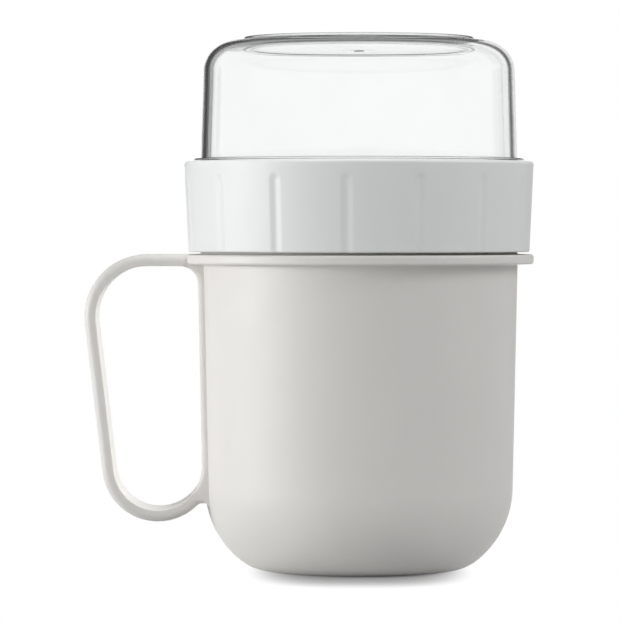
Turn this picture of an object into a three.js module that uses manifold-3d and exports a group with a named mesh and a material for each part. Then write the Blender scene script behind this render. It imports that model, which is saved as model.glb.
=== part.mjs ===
// A to-go cup for cereal. A mug with a handle holds the milk or yoghurt, and a clear cup with the dry
// cereal is screwed upside down on top of it. A grooved collar with a closed floor joins the two.
// Millimetres, +Z up. The origin is the middle of the mug's base, and the handle points along -X.

import * as THREE from "three";
import { mergeVertices } from "three/addons/utils/BufferGeometryUtils.js";
import Module from "manifold-3d";

// Fineness of the surfaces, and the gap between two pieces that touch
const FACETS = 48; // round every turned piece
const CHORD_ERROR = 0.1; // most that a straight step may leave a rounding
const MERGE_DISTANCE = 1e-4;
const FIT_GAP = 0.3;

// Mug
const MUG_HEIGHT = 94.7; // base to the top of the flange
const MUG_RADIUS = 47.7; // outside of the wall, just under the flange
const MUG_DRAFT = 1.2; // degrees by which the wall leans in towards the base
const MUG_WALL = 2.2;
const MUG_FLOOR = 2.6;
const BASE_RADIUS = 31.4; // flat face that the mug stands on
const BASE_ROUNDING = 28; // radius of the curve from the wall to the base
const FLANGE_WIDTH = 4.8; // how far the flange stands out from the wall
const FLANGE_THICKNESS = 2.9;
const FLANGE_ROUNDING = 0.8;
const NECK_HEIGHT = 12; // top of the flange to the rim
const NECK_STEP = 0.1; // the neck is this much slimmer than the wall under the flange
const NECK_WALL = 2;
const RIM_ROUNDING = 0.6;

// Handle, a flat band bent into a closed loop
const HANDLE_WIDTH = 22; // along Y
const HANDLE_THICKNESS = 3.5;
const HANDLE_EDGE = 2; // rounding of the band's outer edges
const HANDLE_FLAT = 0.5; // least flat between that rounding and the opening
const HANDLE_REACH = 30.7; // finger room between the saddle and the grip, at its widest
const HANDLE_LOWER_Z = 18.3; // lowest point of the finger opening, above the base
const HANDLE_UPPER_RADIUS = 15; // upper bend of the opening
const HANDLE_LOWER_RADIUS = 13.2; // lower end of the opening
const HANDLE_CORNER_RADIUS = 5.5; // corner of the opening under the flange
const HANDLE_FOOT_FILLET = 1.6; // hollow rounding where the lower end meets the mug
const SADDLE_THICKNESS = 0.55; // strip on the mug's wall, at its thinnest

// Screw threads, alike on the mug and on the clear cup
const THREAD_PITCH = 4;
const THREAD_HEIGHT = 1.2;
const THREAD_ROOT_WIDTH = 2.2;
const THREAD_CREST_WIDTH = 1;
const THREAD_TIP_GAP = 0.5; // crest to the wall that it faces
const THREAD_FLANK_GAP = 0.35; // along Z, between the flanks that bear on each other
const THREAD_RUNOUT = 0.09; // turns over which a ridge fades out at each end
const THREAD_SINK = 0.4; // depth of a ridge's root in its wall
const SKIRT_LEAD_IN = 0.8; // collar's lower edge to its first ridge
const RIM_LEAD_IN = 1.55; // mug's rim to the last ridge of the neck
const DOME_LEAD_IN = 0.3; // rim of the clear cup to its first ridge
const LIP_LEAD_IN = 0.5; // collar's upper edge to its last ridge

// Collar
const COLLAR_FLOOR = 2; // floor between the two sockets
const COLLAR_WALL_BOTTOM = 1.95; // wall round the socket, at the lower edge
const COLLAR_WALL_TOP = 3.2; // wall round the socket, at the upper edge
const COLLAR_SKIRT_GAP = 0.75; // open line between the flange and the collar
const COLLAR_TOP_ROUNDING = 0.9;
const COLLAR_BOTTOM_ROUNDING = 0.5;
const UPPER_SOCKET_DEPTH = 11.3;
const RIB_HEIGHT = 3; // rings on the floor that hold the seals in place
const RIB_WIDTH = 1.6;
const RIB_CLEARANCE = 1.2; // rib to the inside of the mouth that it stands in
const GROOVE_COUNT = 15;
const GROOVE_WIDTH = 4.4;
const GROOVE_DEPTH = 0.4;
const GROOVE_MARGIN = 3.8; // upper edge of the collar to the round end of a groove
const GROOVE_TURN = -94.6; // degrees from +X to the first groove

// Seals
const SEAL_THICKNESS = 2;
const SEAL_OVERLAP = 0.7; // how far a seal reaches past the rim that presses on it

// Clear cup, upside down
const DOME_HEIGHT = 44.9; // rim to the flat top, without the foot ring
const DOME_WALL = 2;
const DOME_DRAFT = 1.7; // degrees by which the wall leans in towards the top
const DOME_SHOULDER = 9.5; // outer radius of the shoulder
const DOME_CROWN = 1.75; // thickness of the top, outside the panel
const FOOT_RING_INSET = 2.7; // end of the shoulder to the foot ring
const FOOT_RING_WIDTH = 2;
const FOOT_RING_HEIGHT = 1.1;
const FOOT_RING_ROUNDING = 0.5;
const PANEL_INSET = 1; // foot ring to the edge of the thinner panel inside it
const PANEL_THICKNESS = 1.5;
const GATE_RADIUS = 1.5; // small moulding mark under the middle of the panel
const GATE_HEIGHT = 0.4;
const STOP_WIDTH = 2; // rim of the cup that comes to rest on the collar
const STOP_THICKNESS = 0.5;

// Sizes that follow from the ones above
const mugDraft = THREE.MathUtils.degToRad(MUG_DRAFT);
const domeDraft = THREE.MathUtils.degToRad(DOME_DRAFT);
const flangeBottom = MUG_HEIGHT - FLANGE_THICKNESS;
const flangeRadius = MUG_RADIUS + FLANGE_WIDTH;
const neckRadius = MUG_RADIUS - NECK_STEP;
const rimZ = MUG_HEIGHT + NECK_HEIGHT;
const socketRadius = neckRadius + THREAD_HEIGHT + THREAD_TIP_GAP;
const sealStack = SEAL_THICKNESS + 2 * FIT_GAP;
const sealOuterRadius = neckRadius + SEAL_OVERLAP;
const collarZ = rimZ + sealStack; // underside of the collar's floor
const collarBottom = MUG_HEIGHT + COLLAR_SKIRT_GAP - collarZ; // from the underside of the floor
const collarTop = COLLAR_FLOOR + UPPER_SOCKET_DEPTH; // from the underside of the floor
const domeZ = COLLAR_FLOOR + sealStack; // rim of the clear cup, from the underside of the floor
const domeNeckHeight = collarTop - domeZ;
const lowerRibRadius = neckRadius - NECK_WALL - RIB_CLEARANCE;
const upperRibRadius = neckRadius - DOME_WALL - RIB_CLEARANCE;

// Two facing ridges with parallel flanks lie this far apart along Z, middle to middle
const ridgeOffset =
  THREAD_ROOT_WIDTH -
  ((THREAD_ROOT_WIDTH - THREAD_CREST_WIDTH) * (THREAD_HEIGHT + THREAD_TIP_GAP)) / (2 * THREAD_HEIGHT) +
  THREAD_FLANK_GAP;
const ridgePair = THREAD_ROOT_WIDTH + ridgeOffset;
const mugTurns = (NECK_HEIGHT - COLLAR_SKIRT_GAP - SKIRT_LEAD_IN - ridgePair - RIM_LEAD_IN) / THREAD_PITCH;
const domeTurns = (domeNeckHeight - DOME_LEAD_IN - ridgePair - LIP_LEAD_IN) / THREAD_PITCH;

// The base rounding touches the leaning wall and ends on the edge of the base
const baseCentre = (() => {
  const slope = Math.tan(mugDraft);
  const reach = BASE_RADIUS - (MUG_RADIUS - flangeBottom * slope) + BASE_ROUNDING / Math.cos(mugDraft);
  const square = 1 + slope ** 2;
  const root = Math.sqrt((reach * slope) ** 2 - square * (reach ** 2 - BASE_ROUNDING ** 2));
  const z = (reach * slope + root) / square;
  return new THREE.Vector2(wallRadius(z) - BASE_ROUNDING / Math.cos(mugDraft), z);
})();

const wasm = await Module();
wasm.setup();

// Radius of the leaning part of the mug's wall
function wallRadius(z) {
  return MUG_RADIUS - (flangeBottom - z) * Math.tan(mugDraft);
}

function point(radius, z) {
  return new THREE.Vector2(radius, z);
}

// Straight steps that follow an arc closely enough
function arcSteps(radius, angle) {
  return Math.ceil(Math.abs(angle) / (2 * Math.acos(1 - CHORD_ERROR / radius)));
}

// Points along an arc, angles in radians from the radial direction
function arc(centre, radius, from, to) {
  const steps = arcSteps(radius, to - from);
  return Array.from({ length: steps + 1 }, (_, i) => {
    const angle = from + ((to - from) * i) / steps;
    return point(centre.x + radius * Math.cos(angle), centre.y + radius * Math.sin(angle));
  });
}

// A quarter turn that rounds a corner, from one axis direction to the next, counterclockwise
function quarter(radius, z, rounding, from) {
  return arc(point(radius, z), rounding, from, from + Math.PI / 2);
}

// A closed solid from a geometry, without the flat triangles that a lathe leaves on its axis
function toSolid(geometry) {
  for (const name of Object.keys(geometry.attributes)) {
    if (name !== "position") {
      geometry.deleteAttribute(name);
    }
  }
  const merged = mergeVertices(geometry, MERGE_DISTANCE);
  const index = merged.index.array;
  const triangles = [];
  for (let i = 0; i < index.length; i += 3) {
    const corners = index.slice(i, i + 3);
    if (new Set(corners).size === 3) {
      triangles.push(...corners);
    }
  }
  const vertProperties = merged.attributes.position.array;
  const triVerts = new Uint32Array(triangles);
  return new wasm.Manifold(new wasm.Mesh({ numProp: 3, vertProperties, triVerts }));
}

function toMesh(name, solid, look) {
  const { vertProperties, triVerts } = solid.getMesh();
  const geometry = new THREE.BufferGeometry();
  geometry.setAttribute("position", new THREE.BufferAttribute(vertProperties, 3));
  geometry.setIndex(new THREE.BufferAttribute(triVerts, 1));
  geometry.computeVertexNormals();
  const mesh = new THREE.Mesh(geometry, new THREE.MeshStandardMaterial(look));
  mesh.name = name;
  return mesh;
}

// Turns an outline of radius and height round the Z axis
function turned(outline) {
  const geometry = new THREE.LatheGeometry(outline, FACETS);
  geometry.rotateX(Math.PI / 2);
  return toSolid(geometry);
}

// A right-hand thread ridge on a wall. It grows outwards with direction 1 and inwards with -1
function threadRidge(radius, direction, startZ, turns) {
  const steps = Math.ceil(turns * FACETS);
  const root = radius - direction * THREAD_SINK;
  const positions = [];
  for (let i = 0; i <= steps; i += 1) {
    const turn = (turns * i) / steps;
    const z = startZ + THREAD_PITCH * turn;
    const fade = Math.min(1, turn / THREAD_RUNOUT, (turns - turn) / THREAD_RUNOUT);
    const crest = radius + direction * THREAD_HEIGHT * fade;
    const section = [
      point(root, z - THREAD_ROOT_WIDTH / 2),
      point(crest, z - THREAD_CREST_WIDTH / 2),
      point(crest, z + THREAD_CREST_WIDTH / 2),
      point(root, z + THREAD_ROOT_WIDTH / 2),
    ];
    if (direction < 0) {
      section.reverse();
    }
    const angle = 2 * Math.PI * turn;
    for (const corner of section) {
      positions.push(corner.x * Math.cos(angle), corner.x * Math.sin(angle), corner.y);
    }
  }
  const index = [0, 1, 2, 0, 2, 3];
  for (let i = 0; i < steps; i += 1) {
    for (let side = 0; side < 4; side += 1) {
      const here = 4 * i + side;
      const next = 4 * i + ((side + 1) % 4);
      index.push(next, here, here + 4, next, here + 4, next + 4);
    }
  }
  const last = 4 * steps;
  index.push(last, last + 2, last + 1, last, last + 3, last + 2);
  const geometry = new THREE.BufferGeometry();
  geometry.setAttribute("position", new THREE.Float32BufferAttribute(positions, 3));
  geometry.setIndex(index);
  return toSolid(geometry);
}

// Extrudes an outline in the XZ plane along Y, to both sides, with rounded edges
function across(shape, width, rounding) {
  const geometry = new THREE.ExtrudeGeometry(shape, {
    depth: width - 2 * rounding,
    bevelThickness: rounding,
    bevelSize: rounding,
    bevelOffset: -rounding,
    bevelSegments: rounding > 0 ? arcSteps(rounding, Math.PI / 2) : 0,
  });
  geometry.rotateX(Math.PI / 2);
  geometry.translate(0, width / 2 - rounding, 0);
  return toSolid(geometry);
}

// Outline of the mug's outside from the axis to the wall under the flange, larger all round by grow
function mugOutside(grow) {
  const from = Math.atan2(-baseCentre.y, BASE_RADIUS - baseCentre.x);
  const rounding = arc(baseCentre, BASE_ROUNDING + grow, from, -mugDraft);
  return [point(0, rounding[0].y), ...rounding, point(wallRadius(flangeBottom) + grow, flangeBottom - grow)];
}

function mugBody() {
  const floorAngle = -Math.asin((baseCentre.y - MUG_FLOOR) / (BASE_ROUNDING - MUG_WALL));
  const edge = flangeRadius - FLANGE_ROUNDING;
  const mouth = neckRadius - NECK_WALL;
  const outline = [
    ...mugOutside(0),
    ...quarter(edge, flangeBottom + FLANGE_ROUNDING, FLANGE_ROUNDING, -Math.PI / 2),
    ...quarter(edge, MUG_HEIGHT - FLANGE_ROUNDING, FLANGE_ROUNDING, 0),
    point(neckRadius, MUG_HEIGHT),
    ...quarter(neckRadius - RIM_ROUNDING, rimZ - RIM_ROUNDING, RIM_ROUNDING, 0),
    ...quarter(mouth + RIM_ROUNDING, rimZ - RIM_ROUNDING, RIM_ROUNDING, Math.PI / 2),
    point(mouth, MUG_HEIGHT),
    point(wallRadius(flangeBottom) - MUG_WALL, flangeBottom),
    ...arc(baseCentre, BASE_ROUNDING - MUG_WALL, -mugDraft, floorAngle),
    point(0, MUG_FLOOR),
  ];
  const ridgeZ = MUG_HEIGHT + COLLAR_SKIRT_GAP + SKIRT_LEAD_IN + THREAD_ROOT_WIDTH / 2 + ridgeOffset;
  return turned(outline).add(threadRidge(neckRadius, 1, ridgeZ, mugTurns));
}

// The finger opening and the band round it share the centres of their bends
function handle() {
  const saddleX = (z) => -wallRadius(z) - SADDLE_THICKNESS;
  const besideSaddle = (z, radius) => point(saddleX(z) - radius / Math.cos(mugDraft), z);
  const openingTop = MUG_HEIGHT - HANDLE_THICKNESS;
  const upperZ = openingTop - HANDLE_UPPER_RADIUS;
  const upper = point(saddleX(upperZ) - HANDLE_REACH + HANDLE_UPPER_RADIUS, upperZ);
  const lower = besideSaddle(HANDLE_LOWER_Z + HANDLE_LOWER_RADIUS, HANDLE_LOWER_RADIUS);
  const corner = besideSaddle(openingTop - HANDLE_CORNER_RADIUS, HANDLE_CORNER_RADIUS);
  const span = lower.clone().sub(upper);
  const gripAngle = span.angle() - Math.acos((HANDLE_UPPER_RADIUS - HANDLE_LOWER_RADIUS) / span.length());

  const opening = new THREE.Shape([
    ...arc(corner, HANDLE_CORNER_RADIUS, mugDraft, Math.PI / 2),
    ...arc(upper, HANDLE_UPPER_RADIUS, Math.PI / 2, gripAngle),
    ...arc(lower, HANDLE_LOWER_RADIUS, gripAngle, 2 * Math.PI + mugDraft),
  ]);

  const footRadius = HANDLE_LOWER_RADIUS + HANDLE_THICKNESS;
  const baseDrop = Math.max(0, baseCentre.y - HANDLE_LOWER_Z);
  const footX = -baseCentre.x - Math.sqrt(BASE_ROUNDING ** 2 - baseDrop ** 2) - HANDLE_FOOT_FILLET;
  const footDrop = Math.sqrt((footRadius + HANDLE_FOOT_FILLET) ** 2 - (footX - lower.x) ** 2);
  const foot = point(footX, lower.y - footDrop);
  const footAngle = foot.clone().sub(lower).angle();
  const insideMug = -baseCentre.x;

  const band = new THREE.Shape([
    point(insideMug, MUG_HEIGHT),
    ...arc(upper, HANDLE_UPPER_RADIUS + HANDLE_THICKNESS, Math.PI / 2, gripAngle),
    ...arc(lower, footRadius, gripAngle, footAngle),
    ...arc(foot, HANDLE_FOOT_FILLET, footAngle - Math.PI, 0),
    point(insideMug, foot.y),
  ]);

  const mugSpace = turned([
    ...mugOutside(FIT_GAP),
    point(flangeRadius + FIT_GAP, flangeBottom - FIT_GAP),
    point(flangeRadius + FIT_GAP, MUG_HEIGHT + FIT_GAP),
    point(0, MUG_HEIGHT + FIT_GAP),
  ]);
  const edge = Math.min(HANDLE_EDGE, HANDLE_THICKNESS - HANDLE_FLAT);
  return across(band, HANDLE_WIDTH, edge).subtract(across(opening, 2 * HANDLE_WIDTH, 0)).subtract(mugSpace);
}

// A flat ring from its lower face up
function seal(ribRadius) {
  const inner = ribRadius + FIT_GAP;
  return turned([
    point(inner, 0),
    point(sealOuterRadius, 0),
    point(sealOuterRadius, SEAL_THICKNESS),
    point(inner, SEAL_THICKNESS),
    point(inner, 0),
  ]);
}

// A round-ended cutter that lies along the leaning outside of the collar, at angle 0
function grooveCutter() {
  const radius = (GROOVE_WIDTH ** 2 / 4 + GROOVE_DEPTH ** 2) / (2 * GROOVE_DEPTH);
  const lean = Math.atan((COLLAR_WALL_TOP - COLLAR_WALL_BOTTOM) / (collarTop - collarBottom));
  const fade = GROOVE_WIDTH / 2; // the round end starts this far below the end of the groove
  const length = collarTop - GROOVE_MARGIN - fade - collarBottom;
  const capSteps = arcSteps(radius, Math.PI / 2);
  const geometry = new THREE.CapsuleGeometry(radius, 2 * length, capSteps, 4 * capSteps);
  geometry.rotateX(Math.PI / 2);
  geometry.rotateY(lean);
  const bottomRadius = socketRadius + COLLAR_WALL_BOTTOM;
  geometry.translate(bottomRadius + (radius - GROOVE_DEPTH) / Math.cos(lean), 0, collarBottom);
  return toSolid(geometry);
}

function collar() {
  const bottomEdge = socketRadius + COLLAR_WALL_BOTTOM - COLLAR_BOTTOM_ROUNDING;
  const topEdge = socketRadius + COLLAR_WALL_TOP - COLLAR_TOP_ROUNDING;
  const outline = [
    point(0, 0),
    point(lowerRibRadius - RIB_WIDTH, 0),
    point(lowerRibRadius - RIB_WIDTH, -RIB_HEIGHT),
    point(lowerRibRadius, -RIB_HEIGHT),
    point(lowerRibRadius, 0),
    point(socketRadius, 0),
    point(socketRadius, collarBottom),
    ...quarter(bottomEdge, collarBottom + COLLAR_BOTTOM_ROUNDING, COLLAR_BOTTOM_ROUNDING, -Math.PI / 2),
    ...quarter(topEdge, collarTop - COLLAR_TOP_ROUNDING, COLLAR_TOP_ROUNDING, 0),
    point(socketRadius, collarTop),
    point(socketRadius, COLLAR_FLOOR),
    point(upperRibRadius, COLLAR_FLOOR),
    point(upperRibRadius, COLLAR_FLOOR + RIB_HEIGHT),
    point(upperRibRadius - RIB_WIDTH, COLLAR_FLOOR + RIB_HEIGHT),
    point(upperRibRadius - RIB_WIDTH, COLLAR_FLOOR),
    point(0, COLLAR_FLOOR),
  ];
  const lowerRidgeZ = collarBottom + SKIRT_LEAD_IN + THREAD_ROOT_WIDTH / 2;
  const upperRidgeZ = domeZ + DOME_LEAD_IN + THREAD_ROOT_WIDTH / 2 + ridgeOffset;
  const cutter = grooveCutter();
  let body = turned(outline);
  for (let i = 0; i < GROOVE_COUNT; i += 1) {
    body = body.subtract(cutter.rotate([0, 0, GROOVE_TURN + (360 * i) / GROOVE_COUNT]));
  }
  return body
    .add(threadRidge(socketRadius, -1, lowerRidgeZ, mugTurns))
    .add(threadRidge(socketRadius, -1, upperRidgeZ, domeTurns));
}

function dome() {
  const leaningWall = (z) => neckRadius - (z - domeNeckHeight) * Math.tan(domeDraft);
  const shoulderCentre = (rounding, crown, wall) => {
    const z = DOME_HEIGHT - crown - rounding;
    return point(leaningWall(z) - (wall + rounding) / Math.cos(domeDraft), z);
  };
  const innerShoulder = DOME_SHOULDER - DOME_WALL;
  const innerCentre = shoulderCentre(innerShoulder, DOME_CROWN, DOME_WALL);
  const outerCentre = shoulderCentre(DOME_SHOULDER, 0, 0);
  const ringOuter = outerCentre.x - FOOT_RING_INSET;
  const ringInner = ringOuter - FOOT_RING_WIDTH;
  const ringTop = DOME_HEIGHT + FOOT_RING_HEIGHT - FOOT_RING_ROUNDING;
  const panelRadius = ringInner - PANEL_INSET;
  const ceiling = DOME_HEIGHT - PANEL_THICKNESS;
  const stopRadius = neckRadius + STOP_WIDTH;
  const stopBottom = domeNeckHeight + FIT_GAP;
  const stopTop = stopBottom + STOP_THICKNESS;
  const outline = [
    point(0, ceiling - GATE_HEIGHT),
    point(GATE_RADIUS, ceiling - GATE_HEIGHT),
    point(GATE_RADIUS, ceiling),
    point(panelRadius, ceiling),
    point(panelRadius, DOME_HEIGHT - DOME_CROWN),
    ...arc(innerCentre, innerShoulder, Math.PI / 2, domeDraft),
    point(neckRadius - DOME_WALL, domeNeckHeight),
    point(neckRadius - DOME_WALL, 0),
    point(neckRadius, 0),
    point(neckRadius, stopBottom),
    point(stopRadius, stopBottom),
    point(stopRadius, stopTop),
    point(leaningWall(stopTop), stopTop),
    ...arc(outerCentre, DOME_SHOULDER, domeDraft, Math.PI / 2),
    point(ringOuter, DOME_HEIGHT),
    ...quarter(ringOuter - FOOT_RING_ROUNDING, ringTop, FOOT_RING_ROUNDING, 0),
    ...quarter(ringInner + FOOT_RING_ROUNDING, ringTop, FOOT_RING_ROUNDING, Math.PI / 2),
    point(ringInner, DOME_HEIGHT),
    point(0, DOME_HEIGHT),
  ];
  return turned(outline).add(threadRidge(neckRadius, 1, DOME_LEAD_IN + THREAD_ROOT_WIDTH / 2, domeTurns));
}

const warmGrey = { color: 0xdad7d2, roughness: 0.5, metalness: 0 };
const coolGrey = { color: 0xdde0de, roughness: 0.5, metalness: 0 };
const clear = { color: 0xf4f8f8, roughness: 0.08, metalness: 0, transparent: true, opacity: 0.25 };
const silicone = { color: 0xe9e9e6, roughness: 0.6, metalness: 0 };

const mug = new THREE.Group();
mug.add(toMesh("mug_body", mugBody(), warmGrey));
mug.add(toMesh("mug_handle", handle(), warmGrey));

const mugSeal = toMesh("mug_seal", seal(lowerRibRadius), silicone);
mugSeal.position.z = -FIT_GAP - SEAL_THICKNESS;
const domeSeal = toMesh("dome_seal", seal(upperRibRadius), silicone);
domeSeal.position.z = COLLAR_FLOOR + FIT_GAP;
const clearDome = toMesh("clear_dome", dome(), clear);
clearDome.position.z = domeZ;

const lid = new THREE.Group();
lid.position.z = collarZ;
lid.add(mugSeal, toMesh("screw_collar", collar(), coolGrey), domeSeal, clearDome);

const cup = new THREE.Group();
cup.add(mug, lid);

export default cup;
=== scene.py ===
# Looks of a cereal to-go cup: a satin grey mug with a handle, a grooved screw collar, a clear cup screwed
# on upside down, and two silicone seals. Metres, +Z up, in the frame of the solids, handle along -X.

import math
from itertools import pairwise

import bmesh
import bpy
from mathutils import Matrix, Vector


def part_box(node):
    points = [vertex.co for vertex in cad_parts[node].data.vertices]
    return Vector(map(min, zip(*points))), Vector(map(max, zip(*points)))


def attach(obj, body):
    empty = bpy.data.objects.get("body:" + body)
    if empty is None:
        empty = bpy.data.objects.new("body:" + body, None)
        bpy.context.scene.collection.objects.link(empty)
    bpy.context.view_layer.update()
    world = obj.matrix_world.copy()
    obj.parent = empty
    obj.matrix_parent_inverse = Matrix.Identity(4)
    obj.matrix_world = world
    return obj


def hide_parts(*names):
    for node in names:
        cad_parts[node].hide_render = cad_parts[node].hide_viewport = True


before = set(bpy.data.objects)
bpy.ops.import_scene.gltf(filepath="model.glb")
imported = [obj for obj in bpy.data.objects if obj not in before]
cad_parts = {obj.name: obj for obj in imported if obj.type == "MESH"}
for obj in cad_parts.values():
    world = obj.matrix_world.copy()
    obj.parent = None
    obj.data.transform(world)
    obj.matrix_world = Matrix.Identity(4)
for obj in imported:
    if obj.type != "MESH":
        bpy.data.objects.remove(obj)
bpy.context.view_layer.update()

MM = 0.001

# Boxes of the solids, which most places and overall sizes are taken from
mug_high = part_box("mug_body")[1]
handle_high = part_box("mug_handle")[1]
collar_low, collar_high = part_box("screw_collar")
dome_low, dome_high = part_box("clear_dome")
mug_seal_low, mug_seal_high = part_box("mug_seal")
dome_seal_low, dome_seal_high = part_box("dome_seal")

# Fineness of the meshes
COLUMNS = 240  # round the mug, the clear cup and the seals
FILLET_STEPS = 6
ROUNDING_STEPS = 28  # along a large rounding
FLAT_STEPS = 3  # across each flat of the handle's band
HANDLE_STEPS = 16  # along each stretch of the handle's loop
FOOT_STEPS = 32  # along the one where it meets the mug at its lower end
WALL_STEP = 4 * MM  # longest step along a plain wall
THREAD_STEP = 0.25 * MM
GROOVE_STEP = 0.6 * MM
GROOVE_COLUMNS = 16
LAND_COLUMNS = 10  # between two grooves
SAME = 1e-6  # closer than this is the same place
FIT_GAP = 0.3 * MM  # between two pieces that touch

# Mug
MUG_DRAFT = 1.2  # degrees by which the wall leans in towards the base
MUG_WALL = 2.2 * MM
MUG_FLOOR = 2.6 * MM
BASE_RADIUS = 31.4 * MM
BASE_ROUNDING = 28 * MM
BASE_EDGE = 12 * MM  # soft edge between that rounding and the base
FLANGE_WIDTH = 4.8 * MM
FLANGE_THICKNESS = 2.9 * MM
FLANGE_ROUNDING = 0.8 * MM
FLANGE_FILLET = 0.5 * MM  # hollow roundings under and over the flange
NECK_STEP = 0.1 * MM  # by which the neck is slimmer than the wall
NECK_WALL = 2 * MM
RIM_ROUNDING = 0.7 * MM

# Handle
HANDLE_THICKNESS = 3.5 * MM
HANDLE_EDGE = 2 * MM  # rounding of the band's outer edges
HANDLE_HIDDEN_EDGE = 0.3 * MM  # of these edges inside the wall of the mug
HANDLE_INNER_EDGE = 0.3 * MM  # of the edges round the opening
SADDLE_EDGE = 1.2 * MM  # of these edges where the band lies on the mug
HANDLE_REACH = 30.7 * MM
HANDLE_LOWER_Z = 18.3 * MM
HANDLE_UPPER_RADIUS = 15 * MM
HANDLE_LOWER_RADIUS = 13.2 * MM
HANDLE_CORNER_RADIUS = 5.5 * MM
HANDLE_FOOT_FILLET = 1.6 * MM
HANDLE_HUG = 2.2 * MM  # from this far off, the band bends to the round of the mug
SADDLE_THICKNESS = 0.55 * MM
ROOT_DEPTH = 1.1 * MM  # how deep the band's root lies in the wall of the mug

# Screw threads
THREAD_PITCH = 4 * MM
THREAD_HEIGHT = 1.2 * MM
THREAD_ROOT_WIDTH = 2.2 * MM
THREAD_CREST_WIDTH = 1 * MM
THREAD_TIP_GAP = 0.5 * MM
THREAD_OFFSET = 1.7 * MM  # along Z, between the middles of two facing ridges
THREAD_RUNOUT = 0.09  # turns
SKIRT_LEAD_IN = 0.8 * MM
DOME_LEAD_IN = 0.3 * MM
MUG_TURNS = 1.25
DOME_TURNS = 1

# Collar
COLLAR_FLOOR = 2 * MM
COLLAR_FLARE = 1.25 * MM  # the upper edge stands out past the lower one
COLLAR_TOP_ROUNDING = 0.9 * MM
COLLAR_BOTTOM_ROUNDING = 0.5 * MM
COLLAR_INNER_EDGE = 0.4 * MM
UPPER_SOCKET_DEPTH = 11.3 * MM
RIB_HEIGHT = 3 * MM
RIB_WIDTH = 1.6 * MM
RIB_CLEARANCE = 1.2 * MM
RIB_ROUNDING = 0.5 * MM
RIB_FILLET = 0.25 * MM
GROOVE_COUNT = 15
GROOVE_WIDTH = 4.4 * MM
GROOVE_DEPTH = 0.36 * MM
GROOVE_MARGIN = 3.6 * MM
GROOVE_TURN = -94.6  # degrees from +X to the first groove

# Seals
SEAL_EDGE = 0.5 * MM

# Clear cup
DOME_WALL = 2 * MM
DOME_DRAFT = 1.7  # degrees by which the wall leans in towards the top
DOME_SHOULDER = 9.5 * MM
DOME_CROWN = 1.75 * MM
DOME_EDGE = 0.6 * MM
FOOT_RING_INSET = 2.7 * MM
FOOT_RING_WIDTH = 2 * MM
FOOT_RING_HEIGHT = 1.1 * MM
FOOT_RING_ROUNDING = 0.5 * MM
FOOT_RING_FILLET = 0.5 * MM  # hollow roundings on both sides of it
PANEL_INSET = 1 * MM  # from the foot ring in to the thinner panel
PANEL_THICKNESS = 1.5 * MM
PANEL_EDGE = 0.12 * MM
GATE_RADIUS = 1.5 * MM  # small nub under the middle of the panel
GATE_HEIGHT = 0.4 * MM
GATE_EDGE = 0.25 * MM
STOP_WIDTH = 2 * MM  # rim of the cup that comes to rest on the collar
STOP_THICKNESS = 0.5 * MM
STOP_EDGE = 0.2 * MM

# Finishes, with colours as linear red, green and blue
MUG_COLOUR = (0.74, 0.725, 0.7)
COLLAR_COLOUR = (0.745, 0.765, 0.757)
CLEAR_COLOUR = (0.965, 0.97, 0.969)
SILICONE_COLOUR = (0.8, 0.8, 0.78)
NOISE_MIDDLE = (0.3, 0.7)  # part of a noise's range that most of it lies in
CLOUD_SIZE = 30 * MM
CLOUD_DEPTH = 0.012
RUB_SIZE = 9 * MM
ROUGHNESS_SPREAD = 0.04
WAVE_SIZE = 16 * MM
WAVE_DEPTH = 0.05 * MM
GRAIN_SIZE = 0.45 * MM
GRAIN_DEPTH = 0.006 * MM
PLASTIC_IOR = 1.49
PLASTIC_SUBSURFACE = 0.15
SUBSURFACE_DEPTH = 2 * MM
SUBSURFACE_SHARES = (1, 1, 1)  # red, green and blue go equally deep
MUG_ROUGHNESS = 0.45
COLLAR_ROUGHNESS = 0.42
CLEAR_IOR = 1.5
CLEAR_ROUGHNESS = (0, 0.03)  # least and most
CLEAR_WAVE_DEPTH = 0.02 * MM
SILICONE_ROUGHNESS = (0.5, 0.65)  # least and most
SILICONE_SUBSURFACE = 0.4

# Studio
CAMERA_PLACE = Vector((-14.72, -1251, 104.75)) * MM
CAMERA_AIM = Vector((-14.72, 0, 77.9)) * MM
CAMERA_LENS = 241.4  # millimetres, on the usual 36 mm of film
LAMP_AIM = Vector((0, 0, 80)) * MM
LAMP_DISTANCE = 1.2
AMBIENT_FRONT = 0.56  # strength of the even light from the side of the camera
AMBIENT_BACK = 0.12  # and from behind the cup
FLOOR_SIZE = 30
PAINTED_SHADOW_COLOUR = 0.4  # painted shadow: darker floor colour near the cup, which the lamps and the cup's real shadow shade further
FLOOR_BOUNCE = 0.65  # share of the light that it throws back on the cup
PAINTED_SHADOW_WIDTH = 34.3 * MM  # off the axis along X, where the painted shadow ends
PAINTED_SHADOW_DEPTH = 71 * MM  # the same along Y
PAINTED_SHADOW_HAZE = 0.07  # share of white where the painted shadow is deepest
FLAG_DISTANCE = 1  # from the axis back to the dark frames, which give the clear cup its dark edges
FLAG_STEPS = 24

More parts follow.
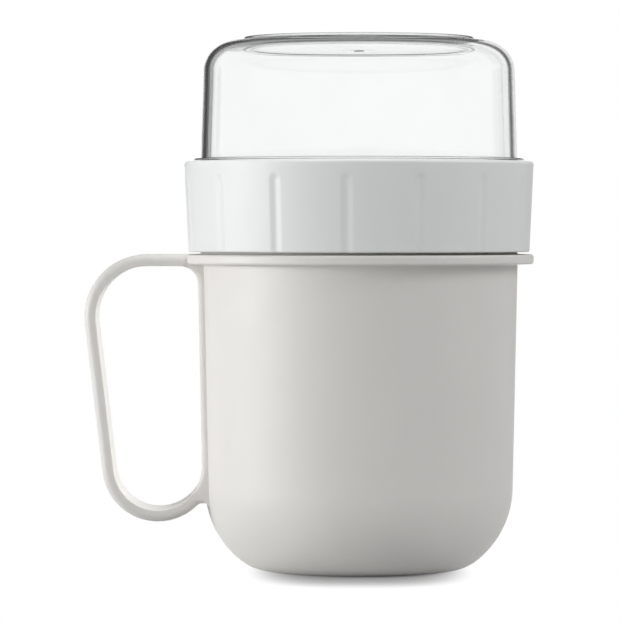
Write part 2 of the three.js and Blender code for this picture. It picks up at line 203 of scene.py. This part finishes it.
# Sizes that follow from the ones above
flange_radius = mug_high.x
flange_top = handle_high.z
flange_bottom = flange_top - FLANGE_THICKNESS
rim_z = mug_high.z
neck_radius = flange_radius - FLANGE_WIDTH - NECK_STEP
mouth_radius = neck_radius - NECK_WALL
socket_radius = neck_radius + THREAD_HEIGHT + THREAD_TIP_GAP
floor_top = collar_high.z - UPPER_SOCKET_DEPTH
floor_bottom = floor_top - COLLAR_FLOOR
lower_rib_radius = mouth_radius - RIB_CLEARANCE
upper_rib_radius = neck_radius - DOME_WALL - RIB_CLEARANCE
dome_top = dome_high.z - FOOT_RING_HEIGHT
skirt_thread_z = collar_low.z + SKIRT_LEAD_IN + THREAD_ROOT_WIDTH / 2  # where the threads start
neck_thread_z = skirt_thread_z + THREAD_OFFSET
dome_thread_z = dome_low.z + DOME_LEAD_IN + THREAD_ROOT_WIDTH / 2
socket_thread_z = dome_thread_z + THREAD_OFFSET


# Outlines, in the plane of radius and height


def smooth(share):
    """From 0 to 1 with level ends."""
    share = min(1, max(0, share))
    return share * share * (3 - 2 * share)


def arc(centre, radius, start, end, steps=ROUNDING_STEPS):
    """Points along an arc, with its angles in degrees."""
    points = []
    for i in range(steps + 1):
        angle = math.radians(start + (end - start) * i / steps)
        points.append(centre + Vector((math.cos(angle), math.sin(angle))) * radius)
    return points


def fillet(before, corner, after, rounding):
    """Arc that rounds the corner between two straight stretches."""
    back = (before - corner).normalized()
    ahead = (after - corner).normalized()
    half = back.angle(ahead) / 2
    centre = corner + (back + ahead).normalized() * rounding / math.sin(half)
    start = corner + back * rounding / math.tan(half) - centre
    end = corner + ahead * rounding / math.tan(half) - centre
    return [centre + start.slerp(end, i / FILLET_STEPS) * rounding for i in range(FILLET_STEPS + 1)]


def rounded(corners):
    """Outline through corners of (radius, height), or of (radius, height, rounding) where one is rounded."""
    points = [Vector(corner[:2]) for corner in corners]
    outline = [points[0]]
    for i in range(1, len(corners) - 1):
        if len(corners[i]) == 3:
            outline += fillet(points[i - 1], points[i], points[i + 1], corners[i][2])
        else:
            outline.append(points[i])
    return outline + [points[-1]]


def spaced(outline, longest):
    """The same outline, with points no further apart than longest(middle of a stretch)."""
    points = [outline[0]]
    for a, b in pairwise(outline):
        count = math.ceil((b - a).length / longest((a + b) / 2))
        points += [a.lerp(b, i / count) for i in range(1, count + 1)]
    return points


def along(points, count):
    """Points at equal steps along a bent line."""
    lengths = [(b - a).length for a, b in pairwise(points)]
    spots = []
    for i in range(count + 1):
        left = sum(lengths) * i / count
        stretch = 0
        while stretch < len(lengths) - 1 and left > lengths[stretch]:
            left -= lengths[stretch]
            stretch += 1
        spots.append(points[stretch].lerp(points[stretch + 1], left / lengths[stretch]))
    return spots


# Meshes


def linked(name, data):
    """New object in the scene."""
    piece = bpy.data.objects.new(name, data)
    bpy.context.scene.collection.objects.link(piece)
    return piece


def finished(name, mesh):
    """Object with smooth shading from a closed mesh."""
    bmesh.ops.recalc_face_normals(mesh, faces=mesh.faces)
    for face in mesh.faces:
        face.smooth = True
    data = bpy.data.meshes.new(name)
    mesh.to_mesh(data)
    mesh.free()
    piece = linked(name, data)
    piece.modifiers.new("even_normals", "WEIGHTED_NORMAL")
    return piece


def joined(mesh, first, second):
    """Faces between two closed rows of vertices, where a row on the axis repeats one vertex."""
    count = len(first)
    for i in range(count):
        j = (i + 1) % count
        corners = dict.fromkeys((first[i], first[j], second[j], second[i]))
        mesh.faces.new(tuple(corners))


def even_angles():
    """Angles of the columns of a round piece."""
    return [2 * math.pi * i / COLUMNS for i in range(COLUMNS)]


def turned(name, outline, angles, relief=lambda radius, height, angle: 0):
    """Turns an outline round the Z axis. The relief is what a point's radius gains."""
    ring = (outline[0] - outline[-1]).length < SAME
    points = outline[:-1] if ring else outline
    mesh = bmesh.new()
    rows = []
    for radius, height in points:
        if radius < SAME:
            rows.append([mesh.verts.new((0, 0, height))] * len(angles))
            continue
        row = []
        for angle in angles:
            reach = radius + relief(radius, height, angle)
            row.append(mesh.verts.new((reach * math.cos(angle), reach * math.sin(angle), height)))
        rows.append(row)
    if ring:
        rows.append(rows[0])
    for lower, upper in pairwise(rows):
        joined(mesh, lower, upper)
    return finished(name, mesh)


def thread(height, angle, start, turns):
    """How far a right-hand thread ridge, which starts at angle 0, stands out from its wall."""
    most = 0
    turn = angle / (2 * math.pi) % 1
    while turn <= turns:
        fade = smooth(min(turn, turns - turn) / THREAD_RUNOUT)
        offset = abs(height - start - THREAD_PITCH * turn)
        flank = (THREAD_ROOT_WIDTH / 2 - offset) / (THREAD_ROOT_WIDTH / 2 - THREAD_CREST_WIDTH / 2)
        most = max(most, THREAD_HEIGHT * fade * smooth(flank))
        turn += 1
    return most


# Mug


def wall_radius(z):
    """Outside of the mug's leaning wall."""
    return flange_radius - FLANGE_WIDTH - (flange_bottom - z) * math.tan(math.radians(MUG_DRAFT))


def find_base_centre():
    """Centre of the large rounding, which touches the leaning wall and ends on the edge of the base."""
    draft = math.radians(MUG_DRAFT)
    slope = math.tan(draft)
    reach = BASE_RADIUS - wall_radius(0) + BASE_ROUNDING / math.cos(draft)
    square = 1 + slope**2
    root = math.sqrt((reach * slope) ** 2 - square * (reach**2 - BASE_ROUNDING**2))
    z = (reach * slope + root) / square
    return Vector((wall_radius(z) - BASE_ROUNDING / math.cos(draft), z))


base_centre = find_base_centre()


def outside_radius(z):
    """Outside of the mug at a height, flange included."""
    if z > flange_bottom:
        return flange_radius
    if z > base_centre.y:
        return wall_radius(z)
    return base_centre.x + math.sqrt(BASE_ROUNDING**2 - (base_centre.y - z) ** 2)


def make_mug():
    """Round-bottomed mug with a flange and a threaded neck."""
    drop = base_centre.y - BASE_EDGE
    edge_angle = -math.degrees(math.asin(drop / (BASE_ROUNDING - BASE_EDGE)))
    edge_centre = arc(base_centre, BASE_ROUNDING - BASE_EDGE, edge_angle, 0)[0]
    inner_rounding = BASE_ROUNDING - MUG_WALL
    floor_angle = math.degrees(-math.asin((base_centre.y - MUG_FLOOR) / inner_rounding))
    outline = rounded([
        (0, 0),
        *arc(edge_centre, BASE_EDGE, -90, edge_angle),
        *arc(base_centre, BASE_ROUNDING, edge_angle, -MUG_DRAFT)[1:],
        (wall_radius(flange_bottom), flange_bottom, FLANGE_FILLET),
        (flange_radius, flange_bottom, FLANGE_ROUNDING),
        (flange_radius, flange_top, FLANGE_ROUNDING),
        (neck_radius, flange_top, FLANGE_FILLET),
        (neck_radius, rim_z, RIM_ROUNDING),
        (mouth_radius, rim_z, RIM_ROUNDING),
        (mouth_radius, flange_top),
        (wall_radius(flange_bottom) - MUG_WALL, flange_bottom),
        *arc(base_centre, inner_rounding, -MUG_DRAFT, floor_angle),
        (0, MUG_FLOOR),
    ])

    def on_neck(radius, height):
        return abs(radius - neck_radius) < SAME and height > flange_top

    def relief(radius, height, angle):
        return thread(height, angle, neck_thread_z, MUG_TURNS) if on_neck(radius, height) else 0

    outline = spaced(outline, lambda middle: THREAD_STEP if on_neck(*middle) else WALL_STEP)
    return turned("mug", outline, even_angles(), relief)


# Handle, a band bent into a closed loop


def handle_stations():
    """Pairs of points in the XZ plane round the loop, on the opening and on the outside of the band."""

    def saddle_x(z):
        return -wall_radius(z) - SADDLE_THICKNESS

    def beside_saddle(z, radius):
        return Vector((saddle_x(z) - radius / math.cos(math.radians(MUG_DRAFT)), z))

    def root(z):
        return Vector((ROOT_DEPTH - outside_radius(z), z))

    opening_top = flange_top - HANDLE_THICKNESS
    upper_z = opening_top - HANDLE_UPPER_RADIUS
    upper = Vector((saddle_x(upper_z) - HANDLE_REACH + HANDLE_UPPER_RADIUS, upper_z))
    lower = beside_saddle(HANDLE_LOWER_Z + HANDLE_LOWER_RADIUS, HANDLE_LOWER_RADIUS)
    corner = beside_saddle(opening_top - HANDLE_CORNER_RADIUS, HANDLE_CORNER_RADIUS)
    span = lower - upper
    lean = math.acos((HANDLE_UPPER_RADIUS - HANDLE_LOWER_RADIUS) / span.length)
    grip_angle = 360 + math.degrees(math.atan2(span.y, span.x) - lean)

    foot_radius = HANDLE_LOWER_RADIUS + HANDLE_THICKNESS
    foot_x = -outside_radius(HANDLE_LOWER_Z) - HANDLE_FOOT_FILLET
    foot_drop = math.sqrt((foot_radius + HANDLE_FOOT_FILLET) ** 2 - (foot_x - lower.x) ** 2)
    foot = Vector((foot_x, lower.y - foot_drop))
    foot_angle = 360 + math.degrees(math.atan2(foot.y - lower.y, foot.x - lower.x))
    saddle_angle = 360 + MUG_DRAFT

    def paired(inner, outer, steps=HANDLE_STEPS):
        return list(zip(along(inner, steps), along(outer, steps)))

    def bend(centre, radius, start, end):
        return paired(arc(centre, radius, start, end), arc(centre, radius + HANDLE_THICKNESS, start, end))

    foot_inside = arc(lower, HANDLE_LOWER_RADIUS, foot_angle, saddle_angle)
    corner_inside = arc(corner, HANDLE_CORNER_RADIUS, MUG_DRAFT, 90)
    saddle_bottom = foot_inside[-1]
    saddle_top = corner_inside[0]
    corner_outside = [
        root(saddle_top.y),
        root(flange_bottom),
        Vector((-neck_radius, flange_bottom + FLANGE_THICKNESS / 2)),
        Vector((ROOT_DEPTH - flange_radius, flange_top - ROOT_DEPTH)),
        Vector((FLANGE_ROUNDING - flange_radius, flange_top)),
        Vector((corner.x, flange_top)),
    ]
    foot_outside = [
        *arc(foot, HANDLE_FOOT_FILLET, foot_angle - 180, 0),
        root(foot.y),
        root(saddle_bottom.y),
    ]
    upper_bend = bend(upper, HANDLE_UPPER_RADIUS, 90, grip_angle)
    lower_bend = bend(lower, HANDLE_LOWER_RADIUS, grip_angle, foot_angle)
    stretches = [
        paired(corner_inside, corner_outside),
        paired([corner_inside[-1], upper_bend[0][0]], [corner_outside[-1], upper_bend[0][1]]),
        upper_bend,
        paired([upper_bend[-1][0], lower_bend[0][0]], [upper_bend[-1][1], lower_bend[0][1]]),
        lower_bend,
        paired(foot_inside, foot_outside, FOOT_STEPS),
        paired([saddle_bottom, saddle_top], [foot_outside[-1], corner_outside[0]]),
    ]
    return [station for stretch in stretches for station in stretch[:-1]]


def handle_section(inner, outer):
    """Closed section of the band at a station. Close to the mug, its outside follows the mug's round."""
    half_width = handle_high.y
    thickness = (outer - inner).length
    sunk = outside_radius(outer.y) + outer.x
    hug = smooth(1 + sunk / HANDLE_HUG)
    on_mug = smooth(sunk / ROOT_DEPTH)
    inner_edge = HANDLE_INNER_EDGE + (SADDLE_EDGE - HANDLE_INNER_EDGE) * on_mug
    outer_edge = HANDLE_EDGE + (HANDLE_HIDDEN_EDGE - HANDLE_EDGE) * on_mug
    first, *edges, last = rounded([
        (0, 0),
        (half_width, 0, inner_edge),
        (half_width, thickness, outer_edge),
        (0, thickness),
    ])
    inner_arc = edges[: FILLET_STEPS + 1]
    outer_arc = edges[FILLET_STEPS + 1 :]
    profile = [
        *along([first, inner_arc[0]], FLAT_STEPS)[:-1],
        *inner_arc,
        *along([inner_arc[-1], outer_arc[0]], FLAT_STEPS)[1:-1],
        *outer_arc,
        *along([outer_arc[-1], last], FLAT_STEPS)[1:],
    ]
    profile += [Vector((-y, depth)) for y, depth in reversed(profile[1:-1])]
    section = []
    for y, depth in profile:
        share = depth / thickness
        spot = inner.lerp(outer, share)
        sag = abs(outer.x) - math.sqrt(outer.x**2 - y**2)
        section.append((spot.x + share * hug * sag, y, spot.y))
    return section


def make_handle():
    """Closed loop of the band's sections."""
    mesh = bmesh.new()
    rows = []
    for inner, outer in handle_stations():
        rows.append([mesh.verts.new(corner) for corner in handle_section(inner, outer)])
    for first, second in pairwise(rows + rows[:1]):
        joined(mesh, first, second)
    return finished("handle", mesh)


# Collar and seals


def groove(height, angle):
    """Depth of the shallow finger grooves, which have a round upper end and run out at the lower edge."""
    sector = 2 * math.pi / GROOVE_COUNT
    off = (angle - math.radians(GROOVE_TURN) + sector / 2) % sector - sector / 2
    across = off * collar_high.x
    past_end = max(0, height - (collar_high.z - GROOVE_MARGIN - GROOVE_WIDTH / 2))
    return GROOVE_DEPTH * smooth(1 - math.hypot(across, past_end) / (GROOVE_WIDTH / 2))


def collar_angles():
    """Close together across the grooves, and wider apart on the lands between them."""
    sector = 2 * math.pi / GROOVE_COUNT
    half_groove = GROOVE_WIDTH / 2 / collar_high.x
    groove_step = 2 * half_groove / GROOVE_COLUMNS
    land_step = (sector - 2 * half_groove) / LAND_COLUMNS
    angles = []
    for i in range(GROOVE_COUNT):
        middle = math.radians(GROOVE_TURN) + sector * i
        angles += [middle - half_groove + groove_step * j for j in range(GROOVE_COLUMNS)]
        angles += [middle + half_groove + land_step * j for j in range(LAND_COLUMNS)]
    return angles


def make_collar():
    """Ring with a closed floor, a threaded socket below and above it, and grooves outside."""
    bottom, top = collar_low.z, collar_high.z
    bottom_radius = collar_high.x - COLLAR_FLARE
    outline = rounded([
        (0, floor_bottom),
        (lower_rib_radius - RIB_WIDTH, floor_bottom, RIB_FILLET),
        (lower_rib_radius - RIB_WIDTH, floor_bottom - RIB_HEIGHT, RIB_ROUNDING),
        (lower_rib_radius, floor_bottom - RIB_HEIGHT, RIB_ROUNDING),
        (lower_rib_radius, floor_bottom, RIB_FILLET),
        (socket_radius, floor_bottom, RIB_FILLET),
        (socket_radius, bottom, COLLAR_INNER_EDGE),
        (bottom_radius, bottom, COLLAR_BOTTOM_ROUNDING),
        (collar_high.x, top, COLLAR_TOP_ROUNDING),
        (socket_radius, top, COLLAR_INNER_EDGE),
        (socket_radius, floor_top, RIB_FILLET),
        (upper_rib_radius, floor_top, RIB_FILLET),
        (upper_rib_radius, floor_top + RIB_HEIGHT, RIB_ROUNDING),
        (upper_rib_radius - RIB_WIDTH, floor_top + RIB_HEIGHT, RIB_ROUNDING),
        (upper_rib_radius - RIB_WIDTH, floor_top, RIB_FILLET),
        (0, floor_top),
    ])
    outside = bottom_radius - COLLAR_BOTTOM_ROUNDING

    def longest_step(middle):
        if abs(middle.x - socket_radius) < SAME:
            return THREAD_STEP
        return GROOVE_STEP if middle.x > outside else WALL_STEP

    def relief(radius, height, angle):
        if radius > outside:
            return -groove(height, angle)
        if abs(radius - socket_radius) > SAME:
            return 0
        if height > floor_top:
            return -thread(height, angle, socket_thread_z, DOME_TURNS)
        return -thread(height, angle, skirt_thread_z, MUG_TURNS)

    return turned("collar", spaced(outline, longest_step), collar_angles(), relief)


def make_seal(name, low, high, rib_radius):
    """Flat ring with round edges."""
    inner = rib_radius + FIT_GAP
    outer = high.x
    middle = (inner + outer) / 2
    outline = rounded([
        (middle, low.z),
        (outer, low.z, SEAL_EDGE),
        (outer, high.z, SEAL_EDGE),
        (inner, high.z, SEAL_EDGE),
        (inner, low.z, SEAL_EDGE),
        (middle, low.z),
    ])
    return turned(name, outline, even_angles())


# Clear cup, upside down


def make_dome():
    """Cup with a threaded neck, a stop rim, a foot ring, and a thinner panel inside that ring."""
    neck_top = collar_high.z
    draft = math.radians(DOME_DRAFT)

    def leaning_wall(z):
        return neck_radius - (z - neck_top) * math.tan(draft)

    def shoulder_centre(rounding, crown, wall):
        z = dome_top - crown - rounding
        return Vector((leaning_wall(z) - (wall + rounding) / math.cos(draft), z))

    outer_centre = shoulder_centre(DOME_SHOULDER, 0, 0)
    inner_shoulder = DOME_SHOULDER - DOME_WALL
    inner_centre = shoulder_centre(inner_shoulder, DOME_CROWN, DOME_WALL)
    ring_outer = outer_centre.x - FOOT_RING_INSET
    ring_inner = ring_outer - FOOT_RING_WIDTH
    ceiling = dome_top - PANEL_THICKNESS
    panel_radius = ring_inner - PANEL_INSET
    inner_radius = neck_radius - DOME_WALL
    stop_radius = neck_radius + STOP_WIDTH
    stop_bottom = neck_top + FIT_GAP
    stop_top = stop_bottom + STOP_THICKNESS
    outline = rounded([
        (0, ceiling - GATE_HEIGHT),
        (GATE_RADIUS, ceiling - GATE_HEIGHT, GATE_EDGE),
        (GATE_RADIUS, ceiling, PANEL_EDGE),
        (panel_radius, ceiling, PANEL_EDGE),
        (panel_radius, dome_top - DOME_CROWN, PANEL_EDGE),
        *arc(inner_centre, inner_shoulder, 90, DOME_DRAFT),
        (inner_radius, neck_top),
        (inner_radius, dome_low.z, DOME_EDGE),
        (neck_radius, dome_low.z, DOME_EDGE),
        (neck_radius, stop_bottom, STOP_EDGE),
        (stop_radius, stop_bottom, STOP_EDGE),
        (stop_radius, stop_top, STOP_EDGE),
        (leaning_wall(stop_top), stop_top, STOP_EDGE),
        *arc(outer_centre, DOME_SHOULDER, DOME_DRAFT, 90),
        (ring_outer, dome_top, FOOT_RING_FILLET),
        (ring_outer, dome_high.z, FOOT_RING_ROUNDING),
        (ring_inner, dome_high.z, FOOT_RING_ROUNDING),
        (ring_inner, dome_top, FOOT_RING_FILLET),
        (0, dome_top),
    ])

    def on_neck(radius, height):
        return abs(radius - neck_radius) < SAME and height < neck_top

    def relief(radius, height, angle):
        return thread(height, angle, dome_thread_z, DOME_TURNS) if on_neck(radius, height) else 0

    outline = spaced(outline, lambda middle: THREAD_STEP if on_neck(*middle) else WALL_STEP)
    return turned("dome", outline, even_angles(), relief)


# Materials


class Shader:
    """Node tree of a material or of the world, with short ways to add and join nodes."""

    def __init__(self, owner):
        owner.use_nodes = True
        self.owner = owner
        self.tree = owner.node_tree
        self.tree.nodes.clear()

    def add(self, kind, **settings):
        """Adds a node and sets its inputs, with _ for the spaces in their names."""
        node = self.tree.nodes.new(kind)
        for name, value in settings.items():
            node.inputs[name.replace("_", " ")].default_value = value
        return node

    def join(self, source, target):
        self.tree.links.new(source, target)

    def place(self, kind):
        """Where a point of the surface lies, in the object's own metres or as a way to look."""
        return self.add("ShaderNodeTexCoord").outputs[kind]

    def worked_out(self, kind, operation, *values):
        """Outputs of a node of arithmetic."""
        node = self.add(kind)
        node.operation = operation
        for value, socket in zip(values, node.inputs):
            self.join(value, socket)
        return node.outputs

    def largest(self, first, second):
        return self.worked_out("ShaderNodeMath", "MAXIMUM", first, second)["Value"]

    def cubed(self, vector):
        """Sum of the cubes of a vector's parts, each without its sign."""
        square = self.worked_out("ShaderNodeVectorMath", "MULTIPLY", vector, vector)["Vector"]
        size = self.worked_out("ShaderNodeVectorMath", "ABSOLUTE", vector)["Vector"]
        return self.worked_out("ShaderNodeVectorMath", "DOT_PRODUCT", square, size)["Value"]

    def seen(self):
        """1 for what the camera sees, by itself, mirrored or through the clear cup, and 0 for light."""
        path = self.add("ShaderNodeLightPath").outputs
        looked_at = self.largest(path["Is Camera Ray"], path["Is Glossy Ray"])
        return self.largest(looked_at, path["Is Transmission Ray"])

    def mixed(self, share, first, second):
        """Two surfaces in one, with this share of the second."""
        node = self.add("ShaderNodeMixShader")
        self.join(share, node.inputs["Fac"])
        self.join(first, node.inputs[1])
        self.join(second, node.inputs[2])
        return node.outputs["Shader"]

    def show(self, surface, kind="ShaderNodeOutputMaterial"):
        """Makes a surface the one that shows."""
        self.join(surface, self.add(kind).inputs["Surface"])

    def noise(self, place, size, detail):
        """Noise whose grains are about this large, in metres."""
        node = self.add("ShaderNodeTexNoise", Scale=1 / size, Detail=detail)
        self.join(place, node.inputs["Vector"])
        return node.outputs["Fac"]

    def coloured(self, value, first, second):
        """Colour that goes from the first to the second over the middle of a noise's range."""
        node = self.add("ShaderNodeValToRGB")
        for stop, position, colour in zip(node.color_ramp.elements, NOISE_MIDDLE, (first, second)):
            stop.position = position
            stop.color = (*colour, 1)
        self.join(value, node.inputs["Fac"])
        return node.outputs["Color"]

    def ranged(self, value, low, high, start=NOISE_MIDDLE[0], end=NOISE_MIDDLE[1]):
        """Number that goes from low to high as the value goes from start to end."""
        node = self.add("ShaderNodeMapRange", From_Min=start, From_Max=end, To_Min=low, To_Max=high)
        self.join(value, node.inputs["Value"])
        return node.outputs["Result"]

    def bumped(self, value, depth, below=None):
        """Bump of a depth in metres, on top of another one where that is given."""
        node = self.add("ShaderNodeBump", Distance=depth)
        self.join(value, node.inputs["Height"])
        if below:
            self.join(below, node.inputs["Normal"])
        return node.outputs["Normal"]


def clouded(shader, place, surface, colour):
    """Gives the surface its colour, with faint clouds in it."""
    clouds = shader.noise(place, CLOUD_SIZE, detail=4)
    darker = [channel * (1 - CLOUD_DEPTH) for channel in colour]
    lighter = [channel * (1 + CLOUD_DEPTH) for channel in colour]
    shader.join(shader.coloured(clouds, darker, lighter), surface.inputs["Base Color"])


def rubbed(shader, place, surface, low, high):
    """Gives the surface a roughness that varies, as on a thing that is handled and wiped."""
    rubbing = shader.noise(place, RUB_SIZE, detail=6)
    shader.join(shader.ranged(rubbing, low, high), surface.inputs["Roughness"])


def make_plastic(name, colour, roughness):
    """Satin moulded plastic, with a fine mould grain and a little waviness from the moulding."""
    shader = Shader(bpy.data.materials.new(name))
    place = shader.place("Object")
    plastic = shader.add(
        "ShaderNodeBsdfPrincipled",
        IOR=PLASTIC_IOR,
        Subsurface_Weight=PLASTIC_SUBSURFACE,
        Subsurface_Scale=SUBSURFACE_DEPTH,
        Subsurface_Radius=SUBSURFACE_SHARES,
    )
    clouded(shader, place, plastic, colour)
    rubbed(shader, place, plastic, roughness - ROUGHNESS_SPREAD, roughness + ROUGHNESS_SPREAD)
    waves = shader.bumped(shader.noise(place, WAVE_SIZE, detail=1), WAVE_DEPTH)
    grain = shader.bumped(shader.noise(place, GRAIN_SIZE, detail=2), GRAIN_DEPTH, below=waves)
    shader.join(grain, plastic.inputs["Normal"])
    shader.show(plastic.outputs["BSDF"])
    return shader.owner


def make_clear():
    """Clear polished plastic, a little wavy from the moulding and faintly rubbed."""
    shader = Shader(bpy.data.materials.new("clear_plastic"))
    place = shader.place("Object")
    clear = shader.add("ShaderNodeBsdfPrincipled", IOR=CLEAR_IOR, Transmission_Weight=1)
    clouded(shader, place, clear, CLEAR_COLOUR)
    rubbed(shader, place, clear, *CLEAR_ROUGHNESS)
    waves = shader.bumped(shader.noise(place, WAVE_SIZE, detail=1), CLEAR_WAVE_DEPTH)
    shader.join(waves, clear.inputs["Normal"])
    shader.show(clear.outputs["BSDF"])
    return shader.owner


def make_silicone():
    """Soft matt rubber that lets a little light in."""
    shader = Shader(bpy.data.materials.new("silicone"))
    place = shader.place("Object")
    rubber = shader.add(
        "ShaderNodeBsdfPrincipled",
        Subsurface_Weight=SILICONE_SUBSURFACE,
        Subsurface_Scale=SUBSURFACE_DEPTH,
        Subsurface_Radius=SUBSURFACE_SHARES,
    )
    clouded(shader, place, rubber, SILICONE_COLOUR)
    rubbed(shader, place, rubber, *SILICONE_ROUGHNESS)
    grain = shader.bumped(shader.noise(place, GRAIN_SIZE, detail=2), GRAIN_DEPTH)
    shader.join(grain, rubber.inputs["Normal"])
    shader.show(rubber.outputs["BSDF"])
    return shader.owner


# The pieces of the cup


def place_piece(piece, node, body, material):
    """Gives a piece its finish and its body, and hides the solid that it stands for."""
    piece.data.materials.append(material)
    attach(piece, body)
    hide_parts(node)


mug_plastic = make_plastic("mug_plastic", MUG_COLOUR, MUG_ROUGHNESS)
collar_plastic = make_plastic("collar_plastic", COLLAR_COLOUR, COLLAR_ROUGHNESS)
clear_plastic = make_clear()
silicone = make_silicone()

mug = make_mug()
handle = make_handle()
mug_seal = make_seal("lower_seal", mug_seal_low, mug_seal_high, lower_rib_radius)
collar = make_collar()
dome_seal = make_seal("upper_seal", dome_seal_low, dome_seal_high, upper_rib_radius)
dome = make_dome()
dome.visible_shadow = False  # lamps shine through it

place_piece(mug, "mug_body", "mug", mug_plastic)
place_piece(handle, "mug_handle", "mug", mug_plastic)
place_piece(mug_seal, "mug_seal", "lower_seal", silicone)
place_piece(collar, "screw_collar", "collar", collar_plastic)
place_piece(dome_seal, "dome_seal", "upper_seal", silicone)
place_piece(dome, "clear_dome", "dome", clear_plastic)


# Studio


def make_sheet(name, corners, faces, material):
    """Flat thing in the studio, which is no part of the cup."""
    data = bpy.data.meshes.new(name)
    data.from_pydata(corners, [], faces)
    data.materials.append(material)
    sheet = linked(name, data)
    return sheet


def make_floor():
    """Pale floor for the light it throws back. Where it is seen, it has a painted shadow: near the cup a
    darker paper, which also takes the cup's real shadow, fades by an elliptic mask to white further off.
    """
    shader = Shader(bpy.data.materials.new("floor"))
    place = shader.add("ShaderNodeMapping", Scale=(1 / PAINTED_SHADOW_WIDTH, 1 / PAINTED_SHADOW_DEPTH, 1))
    shader.join(shader.place("Object"), place.inputs["Vector"])
    bounce = shader.add("ShaderNodeBsdfDiffuse", Color=(FLOOR_BOUNCE, FLOOR_BOUNCE, FLOOR_BOUNCE, 1))
    shadow_paper = shader.add("ShaderNodeBsdfDiffuse", Color=(PAINTED_SHADOW_COLOUR, PAINTED_SHADOW_COLOUR, PAINTED_SHADOW_COLOUR, 1))
    white = shader.add("ShaderNodeEmission").outputs["Emission"]
    # Painted shadow: an elliptic mask round the cup mixes the darker paper into glowing white further off
    painted_shadow_mask = shader.ranged(shader.cubed(place.outputs["Vector"]), PAINTED_SHADOW_HAZE, 1, start=0, end=1)
    painted_shadow_mask.node.interpolation_type = "SMOOTHSTEP"
    floor_with_painted_shadow = shader.mixed(painted_shadow_mask, shadow_paper.outputs["BSDF"], white)
    shader.show(shader.mixed(shader.seen(), bounce.outputs["BSDF"], floor_with_painted_shadow))
    far = FLOOR_SIZE / 2
    corners = [(-far, -far, 0), (far, -far, 0), (far, far, 0), (-far, far, 0)]
    return make_sheet("floor", corners, [(0, 1, 2, 3)], shader.owner)


def make_flag(name, start, end, inner, outer, level):
    """Part of a dark frame behind the cup, which only shows in the clear cup and in reflections.

    It lies between two angles round the middle of the background, with its edges so many degrees off it.
    """
    shader = Shader(bpy.data.materials.new(name))
    shader.show(shader.add("ShaderNodeEmission", Strength=level).outputs["Emission"])
    middle = Vector((0, (collar_high.z + dome_high.z) / 2))
    radii = [FLAG_DISTANCE * math.tan(math.radians(angle)) for angle in (inner, outer)]
    edges = [arc(middle, radius, start, end, FLAG_STEPS) for radius in radii]
    corners = [(point.x, FLAG_DISTANCE, point.y) for pair in zip(*edges) for point in pair]
    faces = [(2 * i, 2 * i + 1, 2 * i + 3, 2 * i + 2) for i in range(FLAG_STEPS)]
    flag = make_sheet(name, corners, faces, shader.owner)
    flag.visible_camera = False
    flag.visible_diffuse = False
    flag.visible_shadow = False


def make_world():
    """White where it is seen, and a weaker light on the cup that is even but for its fall to the back."""
    world = bpy.data.worlds.new("studio")
    bpy.context.scene.world = world
    shader = Shader(world)
    way = shader.add("ShaderNodeSeparateXYZ")
    shader.join(shader.place("Generated"), way.inputs["Vector"])
    light = shader.add("ShaderNodeBackground", Color=(1, 1, 1, 1))
    strength = shader.ranged(way.outputs["Y"], AMBIENT_FRONT, AMBIENT_BACK, start=-1, end=1)
    shader.join(strength, light.inputs["Strength"])
    white = shader.add("ShaderNodeBackground", Color=(1, 1, 1, 1), Strength=1)
    mixed = shader.mixed(shader.seen(), light.outputs["Background"], white.outputs["Background"])
    shader.show(mixed, "ShaderNodeOutputWorld")


def make_lamp(name, turn, rise, width, height, power, lit, shaded_by=None):
    """Soft box aimed at the cup, turn degrees to the right of the camera and rise degrees up.

    It lights one group of objects. All things throw a shadow in its light, or only those of a second group.
    """
    turn, rise = math.radians(turn), math.radians(rise)
    way = Vector((math.sin(turn) * math.cos(rise), -math.cos(turn) * math.cos(rise), math.sin(rise)))
    data = bpy.data.lights.new(name, "AREA")
    data.shape = "RECTANGLE"
    data.size = width
    data.size_y = height
    data.energy = power
    lamp = linked(name, data)
    lamp.location = LAMP_AIM + way * LAMP_DISTANCE
    lamp.rotation_euler = (-way).to_track_quat("-Z", "Y").to_euler()
    lamp.visible_camera = False
    lamp.light_linking.receiver_collection = lit
    lamp.light_linking.blocker_collection = shaded_by


def make_camera():
    """Camera at the viewing angle of the photograph."""
    data = bpy.data.cameras.new("camera")
    data.lens = CAMERA_LENS
    camera = linked("camera", data)
    camera.location = CAMERA_PLACE
    camera.rotation_euler = (CAMERA_AIM - CAMERA_PLACE).to_track_quat("-Z", "Y").to_euler()
    bpy.context.scene.camera = camera


def make_group(name, pieces):
    """Collection of objects that a lamp is linked to."""
    group = bpy.data.collections.new(name)
    for piece in pieces:
        group.objects.link(piece)
    return group


floor = make_floor()
make_flag("flag_left", start=60, end=204, inner=16, outer=33, level=0.08)
make_flag("flag_left_edge", start=60, end=204, inner=33, outer=45, level=0.38)
make_flag("flag_right", start=-24, end=60, inner=25.5, outer=36, level=0.15)
make_flag("flag_right_edge", start=-24, end=60, inner=14, outer=25.5, level=0.82)
make_flag("flag_top_left", start=60, end=140, inner=45, outer=62, level=0.12)
make_flag("flag_top_right", start=10, end=60, inner=45, outer=62, level=0.65)
make_world()

# No lamp lights the clear cup, so that none is mirrored in it
all_but_clear = make_group("lit", (mug, handle, mug_seal, collar, dome_seal, floor))
collar_only = make_group("collar_only", (collar,))
handle_only = make_group("handle_only", (handle,))
floor_only = make_group("floor_only", (floor,))
make_lamp("key", turn=-76, rise=4, width=1, height=0.4, power=10.6, lit=all_but_clear)
make_lamp("fill", turn=70, rise=30, width=0.7, height=0.5, power=4.3, lit=all_but_clear)
make_lamp("collar_edge", turn=0, rise=85, width=0.7, height=0.9, power=6, lit=collar_only)
make_lamp(
    "inside_handle", turn=90, rise=35, width=0.5, height=0.5, power=13.5,
    lit=handle_only, shaded_by=floor_only,
)

make_camera()
bpy.context.scene.view_settings.view_transform = "Standard"
